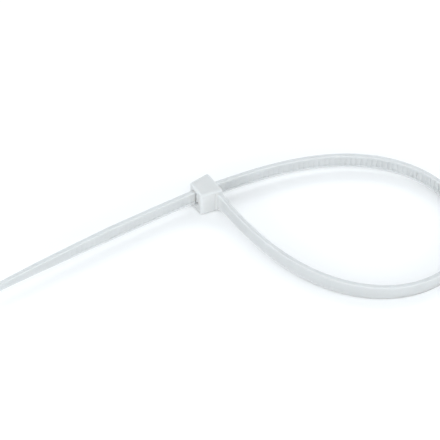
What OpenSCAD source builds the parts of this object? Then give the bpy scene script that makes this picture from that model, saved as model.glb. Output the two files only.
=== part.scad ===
// Self-locking cable tie, closed into a loop and lying on its edge.
// One moulding: head, pawl, toothed strap and tapered tail.
// Units are millimetres. +Z is up, the bench is at Z = 0, and the origin is
// the middle of the bounding box at bench level.

/* [Strap] */
// Width of the strap, which stands upright here
strap_w = 3.5; // [2.4:0.1:5]
// Thickness of the strap
strap_t = 1.05; // [0.8:0.05:1.6]
// Bevel along the four edges of the strap
bevel = 0.16; // [0.05:0.01:0.3]
// Step of the teeth, and of the points along the strap
pitch = 1.2; // [0.8:0.1:1.6]
// Number of steps from the slot round the loop to the head's root
loop_steps = 120; // [60:1:200]
// Number of steps from the slot to the tip of the tail
tail_steps = 47; // [30:1:80]

/* [Teeth] */
// Width of the toothed track between the two smooth rails
track_w = 2.2; // [1.2:0.1:3]
// Depth of a tooth space below the rails
tooth_deep = 0.25; // [0.2:0.05:0.6]
// How far the tooth tips lie below the rails
tooth_low = 0.05; // [0.03:0.01:0.15]
// Plain steps between the tip and the first tooth
plain_tip = 19; // [10:1:30]
// Plain steps between the last tooth and the head's root
plain_root = 9; // [4:1:20]

/* [Loop] */
// Heading of the strap where it crosses the slot's middle, in degrees
slot_heading = 29; // [20:0.1:40]
// Bend of the strap inside the head, in degrees per millimetre
head_bend = 0.62; // [0:0.01:2]
// Bend of the strap where it leaves the head, in degrees per millimetre
start_bend = -0.1864; // [-1:0.0001:1]
// Springiness of the loop along X, in degrees per square millimetre
pull_x = 0.01505; // [-0.1:0.00001:0.1]
// Springiness of the loop along Y, in degrees per square millimetre
pull_y = -0.05369; // [-0.1:0.00001:0.1]

/* [Tail] */
// How much the tail turns from the head to its tip, in degrees
tail_turn = 4.8; // [0:0.1:20]
// Distance from the slot to where the tail starts to narrow
taper_from = 24; // [5:0.1:50]
// Width at the end of the long taper
tip_w = 1.65; // [1:0.05:3]
// Thickness at the tip
tip_t = 0.75; // [0.5:0.05:1.2]
// Steps over which the tail thins to the tip
thin_steps = 12; // [4:1:20]
// Length of the blunt nose at the tip
nose = 0.9; // [0.3:0.1:2]

/* [Head] */
// Width of the head, across the strap's width
head_w = 6.2; // [4:0.1:9]
// From the slot's middle to the head's inner face, on the loop's side
head_in = 2.35; // [1.5:0.05:4]
// From the slot's middle to the head's outer face, on the tail's side
head_out = 2.65; // [1.5:0.05:4]
// From the slot's middle to the head's free end, at the inner face
head_free = 2.3; // [1.5:0.05:4]
// From the slot's middle to the head's root end, at the inner face
head_root = 3.95; // [3:0.05:6]
// How much the free end draws in towards the outer face
free_draft = 0.5; // [0:0.05:1.5]
// How much the root end draws in towards the outer face
root_draft = 0.85; // [0:0.05:1.5]
// Turn of the head about Z, in degrees
head_turn = -57; // [-90:0.5:0]
// Rounding of the edges of the head's two ends
end_r = 0.5; // [0.2:0.05:1]
// Rounding of the other edges of the head
edge_r = 0.4; // [0.1:0.05:0.8]

/* [Slot and pawl] */
// Width of the slot, across the strap's width
slot_w = 3.8; // [2.6:0.1:5.5]
// From the strap's middle to the wall it bears on
wall_at = 0.7; // [0.5:0.05:1]
// From the strap's middle to the far side of the slot's mouth
mouth_at = 0.95; // [0.8:0.05:1.5]
// From the strap's middle to the far side of the pocket behind the pawl
pocket_at = 1.7; // [1.5:0.05:2.5]
// Width of the pawl, which runs in the toothed track
pawl_w = 2; // [1:0.1:3]
// Gap on either side of the pawl
side_gap = 0.15; // [0.1:0.05:0.5]
// Gap between the pawl's teeth and the strap's teeth
pawl_gap = 0.06; // [0.03:0.01:0.15]

/* [Neck] */
// Steps over which the strap widens into the head
neck_steps = 3; // [1:1:8]
// Width of the neck at the head
neck_w = 4.6; // [3.6:0.1:6]
// Extra thickness of the neck at the head, on its outer side
neck_rise = 0.35; // [0:0.05:1]

/* [Hidden] */
natural = [0.90, 0.92, 0.90];

// ---- middle line of the strap -------------------------------------------
// A state is [x, y, heading, bend], in mm, degrees and degrees per mm.
// f = 1: the free loop bends as an even springy strip does; f = 0: plain arc.
function slope(s, f) =
    [cos(s[2]), sin(s[2]), s[3], f * (pull_x * sin(s[2]) + pull_y * cos(s[2]))];
function onward(s, f) =
    let (h = pitch,
         a = slope(s, f), b = slope(s + a * h / 2, f),
         c = slope(s + b * h / 2, f), d = slope(s + c * h, f))
    s + (a + 2 * b + 2 * c + d) * h / 6;
function walk(s0, f, n) = [for (i = 0, s = s0; i <= n; s = onward(s, f), i = i + 1) s];
function last(v) = v[len(v) - 1];

in_head = 3;
loop_in = walk([0, 0, slot_heading, -head_bend], 0, in_head);
loop_out = walk([last(loop_in)[0], last(loop_in)[1], last(loop_in)[2], start_bend],
                1, loop_steps - in_head);
tail_in = walk([0, 0, slot_heading + 180, head_bend], 0, in_head);
tail_out = walk([last(tail_in)[0], last(tail_in)[1], last(tail_in)[2],
                 tail_turn / ((tail_steps - in_head) * pitch)],
                0, tail_steps - in_head);

// From the tip (index 0) through the slot (index tail_steps) to the root.
path = concat(
    [for (i = [len(tail_out) - 1 : -1 : 0]) tail_out[i] - [0, 0, 180, 0]],
    [for (i = [len(tail_in) - 2 : -1 : 1]) tail_in[i] - [0, 0, 180, 0]],
    [for (i = [0 : in_head - 1]) loop_in[i]],
    loop_out);
slot_i = tail_steps;
root_i = len(path) - 1;

// A point beside the middle line: d to the smooth outer side, -d to the
// toothed inner side, and a on towards the root.
function beside(i, d, a = 0) =
    [path[i][0] - sin(path[i][2]) * d + cos(path[i][2]) * a,
     path[i][1] + cos(path[i][2]) * d + sin(path[i][2]) * a];

// Head axes in plan: u towards the fixed strap, v into the loop.
function from_head(u, v) =
    [u * cos(head_turn) - v * sin(head_turn), u * sin(head_turn) + v * cos(head_turn)];

// ---- strap ---------------------------------------------------------------
// Its width: even, then narrowing to the tip, and widening into the head.
function width_at(i) =
    let (out = (slot_i - i) * pitch, n = root_i - i)
    out > taper_from
        ? strap_w + (tip_w - strap_w) * (out - taper_from) / (slot_i * pitch - taper_from)
    : n < neck_steps
        ? strap_w + (neck_w - strap_w) * pow(1 - n / neck_steps, 2)
    : strap_w;
function half_t(i) =
    i >= thin_steps ? strap_t / 2
                    : (tip_t + (strap_t - tip_t) * i / thin_steps) / 2;
function rise(i) = neck_rise * pow(max(0, 1 - (root_i - i) / neck_steps), 4);

// One bevelled section: station i, a on from it, width w, half thickness h.
function section(i, a, w, h, r = 0) =
    let (c = min(bevel, h * 0.4), m = head_w / 2)
    [for (q = [[h + r - c, -w / 2], [h + r, c - w / 2], [h + r, w / 2 - c],
               [h + r - c, w / 2], [c - h, w / 2], [-h, w / 2 - c],
               [-h, c - w / 2], [c - h, -w / 2]])
        [beside(i, q[0], a)[0], beside(i, q[0], a)[1], m + q[1]]];

sections = concat(
    [section(0, 0, tip_w * 0.4, tip_t * 0.35),
     section(0, nose * 0.3, tip_w * 0.8, tip_t * 0.45),
     section(0, nose, tip_w + (strap_w - tip_w) * nose / 40, tip_t / 2)],
    [for (i = [1 : root_i]) section(i, 0, width_at(i), half_t(i), rise(i))],
    [section(root_i, 0.9, neck_w, strap_t / 2, neck_rise)]);

// ---- resting pose --------------------------------------------------------
// The head is wider than the strap, so the tie leans: it rests on the head's
// lower corner and on one step of the loop's lower edge, the step that lies
// beyond the centre of mass as seen from that corner.
function total(v) = v * [for (x = v) 1];
function area_at(i) = width_at(i) * 2 * half_t(i) - 2 * bevel * bevel
    - (i >= plain_tip && i < root_i - plain_root ? track_w * (tooth_deep + tooth_low) / 2 : 0);
strap_mass = pitch * total([for (i = [0 : root_i]) area_at(i)]);
head_mass = (head_root + head_free - (root_draft + free_draft) / 2) * (head_in + head_out) * head_w
    - slot_w * (wall_at + mouth_at) * (head_in + head_out)
    - pawl_w * (pocket_at - mouth_at) * head_out;
head_mid = from_head((head_root - head_free) / 2, (head_in - head_out) / 2);
centre = (pitch * [for (k = [0, 1]) total([for (i = [0 : root_i]) area_at(i) * path[i][k]])]
          + head_mass * head_mid) / (strap_mass + head_mass);
corner = from_head(head_root - end_r, head_in - edge_r);
function low_edge(i) = beside(i, strap_t / 2 - bevel);
function across(i) = cross(low_edge(i) - corner, centre - corner);
rest_i = [for (i = [slot_i + 20 : root_i - 12]) if (across(i) * across(i + 1) <= 0) i][0];
down = unit([low_edge(rest_i)[1] - low_edge(rest_i + 1)[1],
             low_edge(rest_i + 1)[0] - low_edge(rest_i)[0]]);
lean = atan((head_w - strap_w) / 2 / ((low_edge(rest_i) - corner) * down));
lift = corner * down * sin(lean);

// Plan position of a point once the tie leans.
function leaned(p) =
    let (q = p[0] * down[0] + p[1] * down[1])
    [p[0], p[1]] + down * (q * (cos(lean) - 1) + p[2] * sin(lean));
// The middle of the strap's box once it leans; the head lies within that box.
plan = [for (s = sections, p = s) leaned(p)];
mid_x = (min([for (p = plan) p[0]]) + max([for (p = plan) p[0]])) / 2;
mid_y = (min([for (p = plan) p[1]]) + max([for (p = plan) p[1]])) / 2;

module strap() {
    n = len(sections);
    difference() {
        polyhedron(
            points = [for (s = sections) each s],
            faces = concat(
                [[for (j = [0 : 7]) j]],
                [for (k = [0 : n - 2], j = [0 : 7]) each
                    let (a = 8 * k + j, b = 8 * k + (j + 1) % 8)
                    [[a, a + 8, b + 8], [a, b + 8, b]]],
                [[for (j = [7 : -1 : 0]) 8 * (n - 1) + j]]));
        teeth();
    }
}

// The sunk track with its saw teeth: each space has its steep wall on the
// tail side, so the strap runs in and can't run back.
module teeth() {
    first = plain_tip;
    final = root_i - plain_root;
    translate([0, 0, head_w / 2 - track_w / 2])
        linear_extrude(height = track_w)
            polygon(concat(
                [for (i = [first : final - 1]) each
                    [beside(i, tooth_deep - strap_t / 2),
                     beside(i + 1, tooth_low - strap_t / 2)]],
                [for (i = [final : -1 : first]) beside(i, -strap_t / 2 - 0.6)]));
}

// ---- head ----------------------------------------------------------------
function unit(v) = v / norm(v);
// Points that round the corner b between a and c with radius r.
function rounded(a, b, c, r) =
    let (p = unit(a - b), q = unit(c - b), half = acos(p * q) / 2,
         m = b + unit(p + q) * r / sin(half),
         s = b + p * r / tan(half) - m, e = b + q * r / tan(half) - m,
         from = atan2(s[1], s[0]),
         turn = (atan2(e[1], e[0]) - from + 540) % 360 - 180)
    [for (k = [0 : 4]) m + r * [cos(from + turn * k / 4), sin(from + turn * k / 4)]];

// The head's outline in plan, anticlockwise from the outer free corner.
outline = [[-head_free + free_draft, -head_out], [head_root - root_draft, -head_out],
           [head_root, head_in], [-head_free, head_in]];
corner_r = [0.35, 0.7, 0.2, 0.45];

module head_block() {
    difference() {
        linear_extrude(height = head_w)
            polygon([for (k = [0 : 3]) each
                rounded(outline[(k + 3) % 4], outline[k], outline[(k + 1) % 4], corner_r[k])]);
        for (k = [0 : 3]) {
            round_edge(outline[k], outline[(k + 1) % 4], k % 2 == 0 ? edge_r : end_r);
            translate([0, 0, head_w]) mirror([0, 0, 1])
                round_edge(outline[k], outline[(k + 1) % 4], k % 2 == 0 ? edge_r : end_r);
        }
    }
}

// What rounding the lower edge from p to q takes off, with the body on its left.
module round_edge(p, q, r) {
    translate([p[0], p[1], 0])
        rotate([0, 0, atan2(q[1] - p[1], q[0] - p[0])])
            translate([-1, 0, 0])
                rotate([90, 0, 90])
                    linear_extrude(height = norm(q - p) + 2)
                        polygon(concat([[-1, -1], [r, -1]],
                            [for (k = [4 : -1 : 0]) [r - r * cos(k * 22.5), r - r * sin(k * 22.5)]],
                            [[-1, r]]));
}

// The slot runs from the loop side to the tail side. Behind it the pocket in
// which the pawl can swing back is open to the tail side only.
module slot_cut() {
    translate([-wall_at, -head_out - 1, (head_w - slot_w) / 2])
        cube([wall_at + mouth_at, head_in + head_out + 2, slot_w]);
    translate([0, 0, (head_w - pawl_w) / 2 - side_gap])
        linear_extrude(height = pawl_w + 2 * side_gap)
            polygon([[0, -head_out - 1], [pocket_at, -head_out - 1], [pocket_at, 0.5],
                     [mouth_at + 0.3, 1.15], [mouth_at, 1.5], [0, 1.5]]);
}

// The pawl hangs from the mouth's root side and points to the tail side; its
// three teeth stand in three tooth spaces of the strap.
module pawl() {
    deep = tooth_deep - strap_t / 2 - pawl_gap;
    low = tooth_low - strap_t / 2 - pawl_gap;
    translate([0, 0, (head_w - pawl_w) / 2])
        linear_extrude(height = pawl_w)
            polygon([
                beside(slot_i - 2, deep, pawl_gap),
                beside(slot_i - 1, low, pawl_gap),
                beside(slot_i - 1, deep, pawl_gap),
                beside(slot_i, low, pawl_gap),
                beside(slot_i, deep, pawl_gap),
                beside(slot_i + 1, low - 0.04, 0),
                from_head(1.0, 1.65), from_head(1.25, 2.0),
                from_head(2.4, 2.0), from_head(2.4, 0.8),
                from_head(1.6, 0.45), from_head(1.4, -0.4),
                from_head(1.22, -2.0),
                beside(slot_i - 2, -strap_t / 2 - 0.7, pawl_gap)]);
}

module cable_tie() {
    color(natural)
        translate([-mid_x, -mid_y, lift])
            rotate(a = lean, v = [-down[1], down[0], 0]) {
                rotate([0, 0, head_turn])
                    difference() { head_block(); slot_cut(); }
                pawl();
                strap();
            }
}

cable_tie();
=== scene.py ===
import math

import bpy
import bmesh
import numpy as np
from mathutils import Matrix, Vector


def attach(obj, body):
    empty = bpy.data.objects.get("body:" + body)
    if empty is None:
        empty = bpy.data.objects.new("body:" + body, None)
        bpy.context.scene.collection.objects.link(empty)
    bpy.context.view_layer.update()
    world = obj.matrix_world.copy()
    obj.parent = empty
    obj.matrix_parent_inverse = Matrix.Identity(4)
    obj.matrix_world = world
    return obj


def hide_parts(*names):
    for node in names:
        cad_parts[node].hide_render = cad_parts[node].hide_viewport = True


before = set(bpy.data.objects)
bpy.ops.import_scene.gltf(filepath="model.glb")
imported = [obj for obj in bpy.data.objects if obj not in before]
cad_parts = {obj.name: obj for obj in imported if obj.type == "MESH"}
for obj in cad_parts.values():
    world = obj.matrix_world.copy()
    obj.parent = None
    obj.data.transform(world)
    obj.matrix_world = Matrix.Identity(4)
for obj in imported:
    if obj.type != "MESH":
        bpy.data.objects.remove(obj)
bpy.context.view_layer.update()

# ---------------------------------------------------------------- sizes, mm
PITCH = 1.2
LOOP_STEPS, TAIL_STEPS, IN_HEAD = 120, 47, 3
SLOT_HEADING, HEAD_BEND, START_BEND = 29.0, 0.62, -0.1864
PULL_X, PULL_Y, TAIL_TURN = 0.01505, -0.05369, 4.8
STRAP_W, STRAP_T, EDGE = 3.5, 1.05, 0.17
TIP_W, TIP_T, TAPER_FROM, THIN_STEPS, NOSE = 1.65, 0.75, 24.0, 12, 0.9
TRACK_W, TOOTH_DEEP, TOOTH_LOW, PLAIN_TIP, PLAIN_ROOT = 2.2, 0.25, 0.05, 19, 9
HEAD_W, HEAD_TURN = 6.2, -57.0
HEAD_IN, HEAD_OUT, HEAD_FREE, HEAD_ROOT = 2.35, 2.65, 2.3, 3.95
FREE_DRAFT, ROOT_DRAFT, END_R, EDGE_R = 0.5, 0.85, 0.5, 0.4
SLOT_W, WALL_AT, MOUTH_AT, POCKET_AT = 3.8, 0.7, 0.95, 1.7
PAWL_W, SIDE_GAP, PAWL_GAP = 2.0, 0.15, 0.06
NECK_STEPS, NECK_W, NECK_RISE = 3, 4.6, 0.35
# resting pose, as the CAD source works it out
LEAN, LIFT = math.radians(1.7219), 0.105597
DOWN = (0.572807, -0.81969)
MID = (5.14407, -10.1021)

POSE = (Matrix.Translation((-MID[0], -MID[1], LIFT))
        @ Matrix.Rotation(LEAN, 4, Vector((-DOWN[1], DOWN[0], 0))))
HEAD_POSE = POSE @ Matrix.Rotation(math.radians(HEAD_TURN), 4, "Z")


# ------------------------------------------------- middle line of the strap
def walk(state, free, length, h=0.1):
    def slope(s):
        t = math.radians(s[2])
        return np.array([math.cos(t), math.sin(t), s[3],
                         free * (PULL_X * math.sin(t) + PULL_Y * math.cos(t))])
    s = np.array(state, float)
    out = [s]
    for _ in range(round(length / h)):
        a = slope(s)
        b = slope(s + a * h / 2)
        c = slope(s + b * h / 2)
        d = slope(s + c * h)
        s = s + (a + 2 * b + 2 * c + d) * h / 6
        out.append(s)
    return np.array(out)


near = IN_HEAD * PITCH
loop_in = walk((0, 0, SLOT_HEADING, -HEAD_BEND), 0, near)
loop_out = walk((*loop_in[-1][:3], START_BEND), 1, (LOOP_STEPS - IN_HEAD) * PITCH)
tail_in = walk((0, 0, SLOT_HEADING + 180, HEAD_BEND), 0, near)
tail_len = (TAIL_STEPS - IN_HEAD) * PITCH
tail_out = walk((*tail_in[-1][:3], TAIL_TURN / tail_len), 0, tail_len)
back = np.array([0, 0, 180, 0])
LINE = np.concatenate([tail_out[::-1] - back, tail_in[::-1][1:-1] - back,
                       loop_in[:-1], loop_out])
S_LINE = np.arange(len(LINE)) * 0.1
S_SLOT = TAIL_STEPS * PITCH
S_ROOT = (TAIL_STEPS + LOOP_STEPS) * PITCH


def beside(s, d, a=0.0):
    """A point beside the middle line: d to the smooth outer side, a on towards the root."""
    x = np.interp(s, S_LINE, LINE[:, 0])
    y = np.interp(s, S_LINE, LINE[:, 1])
    t = math.radians(np.interp(s, S_LINE, LINE[:, 2]))
    return (x - math.sin(t) * d + math.cos(t) * a, y + math.cos(t) * d + math.sin(t) * a)


# ------------------------------------------------------- section of the strap
def width_at(s):
    out = S_SLOT - s
    n = (S_ROOT - s) / PITCH
    if out > TAPER_FROM:
        return STRAP_W + (TIP_W - STRAP_W) * (out - TAPER_FROM) / (S_SLOT - TAPER_FROM)
    if n < NECK_STEPS:
        return STRAP_W + (NECK_W - STRAP_W) * (1 - max(n, 0) / NECK_STEPS) ** 2
    return STRAP_W


def half_t(s):
    i = s / PITCH
    return STRAP_T / 2 if i >= THIN_STEPS else (TIP_T + (STRAP_T - TIP_T) * i / THIN_STEPS) / 2


def section(w, h_out, h_in, depth):
    """Half a section, from the middle of the outer face round to the middle of the toothed face."""
    c = min(EDGE, h_in * 0.45)
    track = min(TRACK_W, w - 0.7) / 2
    pts = [(h_out - 0.012 * f * f, f * (w / 2 - c)) for f in (0, 0.4, 0.75, 1)]
    pts += [(h_out - 0.012 - c + c * math.cos(a), w / 2 - c + c * math.sin(a))
            for a in np.radians((22.5, 45, 67.5, 90))]
    pts += [(0, w / 2)]
    pts += [(c - h_in - c * math.sin(a), w / 2 - c + c * math.cos(a))
            for a in np.radians((0, 22.5, 45, 67.5, 90))]
    lip = min(0.05, depth * 0.3)
    pts += [(-h_in, track + 0.06), (-h_in, track + lip), (lip - h_in, track),
            (depth - lip - h_in, track), (depth - h_in, track - max(lip, 0.01)),
            (depth - h_in, track * 0.5), (depth - h_in, 0)]
    return pts


def stations():
    """(place along the strap, depth of the tooth track there), tip to root."""
    flush = 0.004
    s0, s1 = PLAIN_TIP * PITCH, S_ROOT - PLAIN_ROOT * PITCH
    out = [(s, flush) for s in (0, 0.04, 0.1, 0.2, 0.34, 0.52, 0.74, 1.0)]
    out += [(s, flush) for s in np.arange(1.4, s0 - 0.1, 0.4)]
    out.append((s0 - 0.012, flush))
    for i in range(round((s1 - s0) / PITCH)):
        a = s0 + i * PITCH
        for off, up in ((0.012, 0.05), (0.04, 0.014), (0.08, 0.0)):      # rounded root
            out.append((a + off, TOOTH_DEEP - up))
        for off in (0.36, 0.72, 1.06):
            out.append((a + off, TOOTH_DEEP + (TOOTH_LOW - TOOTH_DEEP) * (off - 0.08) / 1.02))
        for off, down in ((0.09, 0.0), (0.035, 0.014), (0.012, 0.05)):   # rounded tip
            out.append((a + PITCH - off, TOOTH_LOW + down))
    out += [(s1 + 0.012, flush)]
    out += [(s, flush) for s in np.arange(s1 + 0.3, S_ROOT - 0.7, 0.3)]
    out += [(s, flush) for s in np.arange(S_ROOT - 0.62, S_ROOT - 0.1, 0.06)]
    out += [(S_ROOT, flush), (S_ROOT + 0.9, flush)]
    return out


def strap_mesh():
    verts, faces = [], []
    wall = S_ROOT - 0.14
    ring_n = None
    for s, depth in stations():
        w, h = width_at(s), half_t(s)
        if s < NOSE:
            q = 0.083 + 0.917 * s / NOSE
            k = math.sqrt(1 - (1 - q) ** 2)
            w, h = w * k, h * (0.7 + 0.3 * (k - 0.399) / 0.601)
        n = (S_ROOT - s) / PITCH
        rise = NECK_RISE * max(0.0, 1 - max(n, 0) / NECK_STEPS) ** 4
        q = min(max((s - (wall - 0.4)) / 0.4, 0), 1)
        fillet = 0.28 * (1 - math.sqrt(1 - q * q))
        half = section(w + 2 * fillet, h + rise + fillet, h, depth)
        ring = half + [(d, -z) for d, z in half[-2:0:-1]]
        ring_n = len(ring)
        on = max(0.0, s - S_ROOT)
        for d, z in ring:
            x, y = beside(min(s, S_ROOT), d, on)
            verts.append((x, y, HEAD_W / 2 + z))
    m = len(verts) // ring_n
    for k in range(m - 1):
        for j in range(ring_n):
            a, b = k * ring_n + j, k * ring_n + (j + 1) % ring_n
            faces.append((a, a + ring_n, b + ring_n, b))
    # the nose: quads across the first ring
    half_n = ring_n // 2
    for j in range(half_n):
        a, b = j, j + 1
        c, d = (ring_n - j - 1) % ring_n, (ring_n - j) % ring_n
        face = []
        for v in (a, b, c, d):
            if v not in face:
                face.append(v)
        if len(face) > 2:
            faces.append(tuple(face))
    faces.append(tuple(range((m - 1) * ring_n, m * ring_n)))
    return verts, faces


def make(name, verts, faces, matrix):
    mesh = bpy.data.meshes.new(name)
    mesh.from_pydata([tuple(v) for v in verts], [], faces)
    mesh.transform(matrix)
    bm = bmesh.new()
    bm.from_mesh(mesh)
    bmesh.ops.recalc_face_normals(bm, faces=bm.faces)
    bm.to_mesh(mesh)
    bm.free()
    mesh.validate()
    obj = bpy.data.objects.new(name, mesh)
    bpy.context.scene.collection.objects.link(obj)
    return obj


# --------------------------------------------------------------------- head
def head_mesh():
    corners = [np.array(p) for p in ((-HEAD_FREE + FREE_DRAFT, -HEAD_OUT), (HEAD_ROOT - ROOT_DRAFT, -HEAD_OUT),
                                     (HEAD_ROOT, HEAD_IN), (-HEAD_FREE, HEAD_IN))]
    round_r = (0.4, 0.7, 0.3, 0.45)
    edge_r = (EDGE_R, END_R, EDGE_R, END_R)
    lines = []
    for k in range(4):
        d = corners[(k + 1) % 4] - corners[k]
        d /= np.linalg.norm(d)
        lines.append((corners[k], d, np.array([-d[1], d[0]])))   # inward normal

    def layer(t, out=0.0):
        moved = []
        for k, (p, d, n) in enumerate(lines):
            r = edge_r[k]
            inset = r - math.sqrt(max(r * r - (r - t) ** 2, 0)) if t < r else 0.0
            moved.append((p + n * (inset - out), d, n, inset))
        pts = []
        for k in range(4):
            p0, d0, n0, i0 = moved[(k + 3) % 4]
            p1, d1, n1, i1 = moved[k]
            A = np.array([d0, -d1]).T
            u = np.linalg.solve(A, p1 - p0)
            corner = p0 + d0 * u[0]
            r = max(round_r[k] - 0.6 * (i0 + i1) / 2, 0.12)
            half = math.acos(-float(np.dot(d0, d1))) / 2
            mid = corner + (n0 + n1) / np.linalg.norm(n0 + n1) * r / math.sin(half)
            a0 = math.atan2(*(-n0)[::-1])
            a1 = math.atan2(*(-n1)[::-1])
            turn = (a1 - a0 + math.pi) % (2 * math.pi) - math.pi
            for j in range(7):
                a = a0 + turn * j / 6
                pts.append((mid[0] + r * math.cos(a), mid[1] + r * math.sin(a)))
        return pts

    ts = [END_R * (1 - math.cos(math.radians(a))) for a in (0, 12, 24, 36, 48, 60, 72, 82)]
    heights = [(t, t, 0.0) for t in ts] + [(END_R, END_R, 0.0)]
    mid = HEAD_W / 2
    for z in (1.2, 2.2, mid - 0.06):
        heights.append((z, 9, 0.0))
    heights.append((mid, 9, 0.012))           # the mould's parting line
    rest = [(HEAD_W - z, t, o) for z, t, o in heights[:-1]][::-1]
    heights += rest
    verts, faces = [], []
    for z, t, o in heights:
        verts += [(x, y, z) for x, y in layer(t, o)]
    n = 28
    for k in range(len(heights) - 1):
        for j in range(n):
            a, b = k * n + j, k * n + (j + 1) % n
            faces.append((a, b, b + n, a + n))
    faces.append(tuple(range(n - 1, -1, -1)))
    faces.append(tuple(range((len(heights) - 1) * n, len(heights) * n)))
    return verts, faces


def prism(points, z0, z1):
    n = len(points)
    verts = [(x, y, z0) for x, y in points] + [(x, y, z1) for x, y in points]
    faces = [tuple(range(n)), tuple(range(2 * n - 1, n - 1, -1))]
    faces += [(j, (j + 1) % n, n + (j + 1) % n, n + j) for j in range(n)]
    return verts, faces


def slot_cutter():
    """The slot with its rounded mouths, lofted from the tail side to the loop side."""
    r = 0.22
    rings = [(-HEAD_OUT - 1.0, r), (-HEAD_OUT, r)]
    rings += [(-HEAD_OUT + r * math.sin(a), r - r * math.sin(math.acos(1 - math.sin(a))))
              for a in np.radians((8, 18, 30, 45, 65, 90))]
    rings += [(HEAD_IN - r * math.sin(a), r - r * math.sin(math.acos(1 - math.sin(a))))
              for a in np.radians((90, 65, 45, 30, 18, 8))]
    rings += [(HEAD_IN, r), (HEAD_IN + 1.0, r)]
    verts, faces = [], []
    z0, z1 = (HEAD_W - SLOT_W) / 2, (HEAD_W + SLOT_W) / 2
    for v, g in rings:
        g = max(g, 0.0)
        c = 0.12
        box = (-WALL_AT - g * 0.6, MOUTH_AT + g * 0.6, z0 - g, z1 + g)
        for cx, cz, a0 in ((box[0] + c, box[2] + c, 180), (box[1] - c, box[2] + c, 270),
                           (box[1] - c, box[3] - c, 0), (box[0] + c, box[3] - c, 90)):
            for a in np.radians((a0, a0 + 30, a0 + 60, a0 + 90)):
                verts.append((cx + c * math.cos(a), v, cz + c * math.sin(a)))
    n = 16
    for k in range(len(rings) - 1):
        for j in range(n):
            a, b = k * n + j, k * n + (j + 1) % n
            faces.append((a, b, b + n, a + n))
    faces.append(tuple(range(n - 1, -1, -1)))
    faces.append(tuple(range((len(rings) - 1) * n, len(rings) * n)))
    return verts, faces


def pawl_outline():
    """In the strap's own plan axes, as in the CAD source."""
    deep = TOOTH_DEEP - STRAP_T / 2 - PAWL_GAP
    low = TOOTH_LOW - STRAP_T / 2 - PAWL_GAP
    t = math.radians(HEAD_TURN)

    def head(u, v):
        return (u * math.cos(t) - v * math.sin(t), u * math.sin(t) + v * math.cos(t))
    return [beside(S_SLOT - 2 * PITCH, deep, PAWL_GAP), beside(S_SLOT - PITCH, low, PAWL_GAP),
            beside(S_SLOT - PITCH, deep, PAWL_GAP), beside(S_SLOT, low, PAWL_GAP),
            beside(S_SLOT, deep, PAWL_GAP), beside(S_SLOT + PITCH, low - 0.04),
            head(1.0, 1.65), head(1.25, 2.0), head(2.4, 2.0), head(2.4, 0.8), head(1.6, 0.45),
            head(1.4, -0.4), head(1.22, -2.0),
            beside(S_SLOT - 2 * PITCH, -STRAP_T / 2 - 0.7, PAWL_GAP)]


def applied(obj, drop=()):
    """Bakes obj's modifiers into its mesh and removes the helpers."""
    deps = bpy.context.evaluated_depsgraph_get()
    mesh = bpy.data.meshes.new_from_object(obj.evaluated_get(deps))
    obj.modifiers.clear()
    obj.data = mesh
    for o in drop:
        bpy.data.objects.remove(o)
    return obj


def boolean(obj, other, how):
    m = obj.modifiers.new(how, "BOOLEAN")
    m.operation = how
    m.solver = "EXACT"
    m.object = other


tie = make("cable_tie_moulding", *head_mesh(), HEAD_POSE)
slot = make("cut_slot", *slot_cutter(), HEAD_POSE)
pocket = make("cut_pocket", *prism([(0, -HEAD_OUT - 1), (POCKET_AT, -HEAD_OUT - 1), (POCKET_AT, 0.5),
                                    (MOUTH_AT + 0.3, 1.15), (MOUTH_AT, 1.5), (0, 1.5)],
                                   (HEAD_W - PAWL_W) / 2 - SIDE_GAP, (HEAD_W + PAWL_W) / 2 + SIDE_GAP), HEAD_POSE)
boolean(tie, slot, "DIFFERENCE")
boolean(tie, pocket, "DIFFERENCE")
applied(tie, (slot, pocket))
pawl = make("pawl", *prism(pawl_outline(), (HEAD_W - PAWL_W) / 2, (HEAD_W + PAWL_W) / 2), POSE)
b = pawl.modifiers.new("bevel", "BEVEL")
b.width, b.segments, b.limit_method, b.angle_limit = 0.04, 2, "ANGLE", math.radians(25)
applied(pawl)
boolean(tie, pawl, "UNION")
applied(tie, (pawl,))
strap = make("strap", *strap_mesh(), POSE)
boolean(tie, strap, "UNION")
applied(tie, (strap,))
tie.data.transform(Matrix.Scale(0.001, 4))
bm = bmesh.new()
bm.from_mesh(tie.data)
bmesh.ops.remove_doubles(bm, verts=bm.verts, dist=2e-6)
bmesh.ops.dissolve_degenerate(bm, edges=bm.edges, dist=1e-6)
# faces without area, left where points lie in a row along a straight edge, come in pairs and go
bmesh.ops.triangulate(bm, faces=[f for f in bm.faces if len(f.verts) > 4])
bm.verts.index_update()
pairs = {}
for f in bm.faces:
    pairs.setdefault(frozenset(v.index for v in f.verts), []).append(f)
bmesh.ops.delete(bm, geom=[f for same in pairs.values() if len(same) > 1 for f in same], context="FACES")
bmesh.ops.delete(bm, geom=[f for f in bm.faces if f.calc_area() < 1e-12 and any(e.is_boundary for e in f.edges)],
                 context="FACES")
bm.to_mesh(tie.data)
bm.free()
for p in tie.data.polygons:
    p.use_smooth = True
tie.data.set_sharp_from_angle(angle=math.radians(34))
wn = tie.modifiers.new("face_normals", "WEIGHTED_NORMAL")
wn.keep_sharp = True
wn.weight = 60
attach(tie, "root")
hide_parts("cable_tie")


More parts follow.
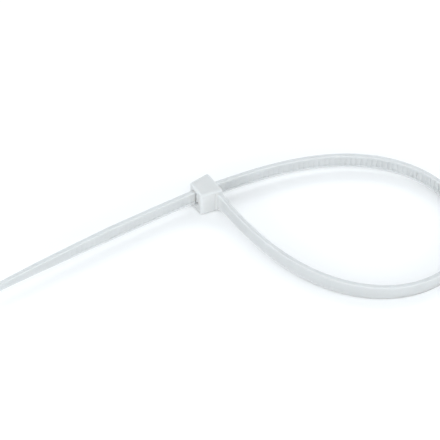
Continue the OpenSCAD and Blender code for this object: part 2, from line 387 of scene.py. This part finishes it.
# ------------------------------------------------------------------ material
def nylon():
    mat = bpy.data.materials.new("natural_nylon")
    mat.use_nodes = True
    nt = mat.node_tree
    nt.nodes.clear()
    out = nt.nodes.new("ShaderNodeOutputMaterial")
    bsdf = nt.nodes.new("ShaderNodeBsdfPrincipled")
    nt.links.new(bsdf.outputs["BSDF"], out.inputs["Surface"])
    bsdf.inputs["IOR"].default_value = 1.53
    bsdf.inputs["Specular IOR Level"].default_value = 0.35
    bsdf.inputs["Subsurface Weight"].default_value = 1.0
    bsdf.inputs["Subsurface Radius"].default_value = (1.0, 1.05, 1.1)
    where = nt.nodes.new("ShaderNodeTexCoord")
    # painted light: the head's colour is lifted and the strap's lowered, so that the head's shaded sides read as
    # bright as the strap; light also runs less far through the thick head than through the thin strap
    apart = nt.nodes.new("ShaderNodeVectorMath")
    apart.operation = "DISTANCE"
    apart.inputs[1].default_value = HEAD_POSE @ Vector(((HEAD_ROOT - HEAD_FREE) / 2, 0, HEAD_W / 2)) * 0.001
    nt.links.new(where.outputs["Object"], apart.inputs[0])

    def head_to_strap(head, strap):
        r = nt.nodes.new("ShaderNodeMapRange")
        r.inputs["From Min"].default_value = 0.0036
        r.inputs["From Max"].default_value = 0.0056
        r.inputs["To Min"].default_value = head
        r.inputs["To Max"].default_value = strap
        nt.links.new(apart.outputs["Value"], r.inputs["Value"])
        return r.outputs["Result"]

    nt.links.new(head_to_strap(0.0009, 0.0024), bsdf.inputs["Subsurface Scale"])

    def noise(scale, detail=2.0, rough=0.5):
        n = nt.nodes.new("ShaderNodeTexNoise")
        n.inputs["Scale"].default_value = scale
        n.inputs["Detail"].default_value = detail
        n.inputs["Roughness"].default_value = rough
        nt.links.new(where.outputs["Object"], n.inputs["Vector"])
        return n

    def spread(source, low, high):
        r = nt.nodes.new("ShaderNodeMapRange")
        r.inputs["From Min"].default_value = 0.3
        r.inputs["From Max"].default_value = 0.7
        r.inputs["To Min"].default_value = low
        r.inputs["To Max"].default_value = high
        nt.links.new(source, r.inputs["Value"])
        return r.outputs["Result"]

    cloud = noise(160, 3, 0.55)          # milky clouds in the nylon, some 6 mm across
    mix = nt.nodes.new("ShaderNodeMix")
    mix.data_type = "RGBA"
    mix.inputs["A"].default_value = (0.549, 0.554, 0.549, 1)
    mix.inputs["B"].default_value = (0.575, 0.580, 0.575, 1)
    nt.links.new(spread(cloud.outputs["Fac"], 0, 1), mix.inputs["Factor"])
    # painted light: base colour scaled up on the head and down on the strap, to offset the head's shade
    painted_light_scale = nt.nodes.new("ShaderNodeVectorMath")
    painted_light_scale.operation = "SCALE"
    nt.links.new(mix.outputs["Result"], painted_light_scale.inputs["Vector"])
    nt.links.new(head_to_strap(1.1, 0.88), painted_light_scale.inputs["Scale"])
    nt.links.new(painted_light_scale.outputs["Vector"], bsdf.inputs["Base Color"])
    sheen = noise(900, 3, 0.6)
    nt.links.new(spread(sheen.outputs["Fac"], 0.56, 0.7), bsdf.inputs["Roughness"])
    grain = noise(9000, 2, 0.6)          # the mould's fine spark-eroded grain
    ripple = noise(700, 2, 0.5)          # slight sink and flow waves
    add = nt.nodes.new("ShaderNodeMath")
    add.operation = "MULTIPLY_ADD"
    add.inputs[1].default_value = 4.0
    nt.links.new(ripple.outputs["Fac"], add.inputs[0])
    nt.links.new(grain.outputs["Fac"], add.inputs[2])
    bump = nt.nodes.new("ShaderNodeBump")
    bump.inputs["Strength"].default_value = 0.35
    bump.inputs["Distance"].default_value = 0.00001
    nt.links.new(add.outputs["Value"], bump.inputs["Height"])
    nt.links.new(bump.outputs["Normal"], bsdf.inputs["Normal"])
    return mat


tie.data.materials.clear()
tie.data.materials.append(nylon())

# --------------------------------------------------------------- floor, light
bpy.ops.mesh.primitive_plane_add(size=3.0, location=(0, 0, 0))
floor = bpy.context.object
floor.name = "floor"
fm = bpy.data.materials.new("floor_white")
fm.use_nodes = True
fb = fm.node_tree.nodes["Principled BSDF"]
fb.inputs["Base Color"].default_value = (0.94, 0.94, 0.94, 1)
fb.inputs["Roughness"].default_value = 1.0
fb.inputs["Specular IOR Level"].default_value = 0.0
floor.data.materials.append(fm)

DAYLIGHT = (0.96, 1.0, 1.03)
world = bpy.data.worlds.new("studio")
bpy.context.scene.world = world
world.use_nodes = True
world.node_tree.nodes["Background"].inputs["Color"].default_value = (*DAYLIGHT, 1)
world.node_tree.nodes["Background"].inputs["Strength"].default_value = 0.65


def area(name, at, size_x, size_y, watts, colour, to=(0, 0, 0)):
    light = bpy.data.lights.new(name, "AREA")
    light.shape = "RECTANGLE"
    light.size, light.size_y = size_x, size_y
    light.energy = watts
    light.color = colour
    obj = bpy.data.objects.new(name, light)
    obj.location = at
    obj.rotation_euler = (Vector(to) - Vector(at)).to_track_quat("-Z", "Y").to_euler()
    bpy.context.scene.collection.objects.link(obj)
    return obj


def panel(name, azimuth, elevation, size_y, watts):
    """A soft panel 1.6 m wide, 1.2 m from the tie; azimuth 0 is behind it, seen from the camera."""
    a, e = math.radians(azimuth), math.radians(elevation)
    at = Vector((math.sin(a) * math.cos(e), math.cos(a) * math.cos(e), math.sin(e))) * 1.2
    return area(name, at, 1.6, size_y, watts, DAYLIGHT)


panel("back", 0, 50, 0.5, 4.2)
panel("front_low", 180, 12, 0.4, 3.7)
panel("front_high", 180, 60, 0.5, 4.0)
panel("left", -112, 20, 0.5, 4.0)
panel("front_right", 125, 20, 0.5, 4.3)

# -------------------------------------------------------------------- camera
ELEV, DIST = math.radians(46), 1500 / 4.56307 * 0.001
AIM = Vector((-(MID[0] - 3.56022), -(MID[1] + 5.33417), 0)) * 0.001
camera = bpy.data.cameras.new("camera")
camera.sensor_width = 36
camera.lens = 36 * 1500 / 440
camera.clip_start, camera.clip_end = 0.01, 20
cam = bpy.data.objects.new("camera", camera)
cam.location = AIM + Vector((0, -math.cos(ELEV), math.sin(ELEV))) * DIST
cam.rotation_euler = (math.pi / 2 - ELEV, 0, 0)
bpy.context.scene.collection.objects.link(cam)
bpy.context.scene.camera = cam

bpy.context.scene.view_settings.view_transform = "Standard"
bpy.context.scene.view_settings.look = "None"
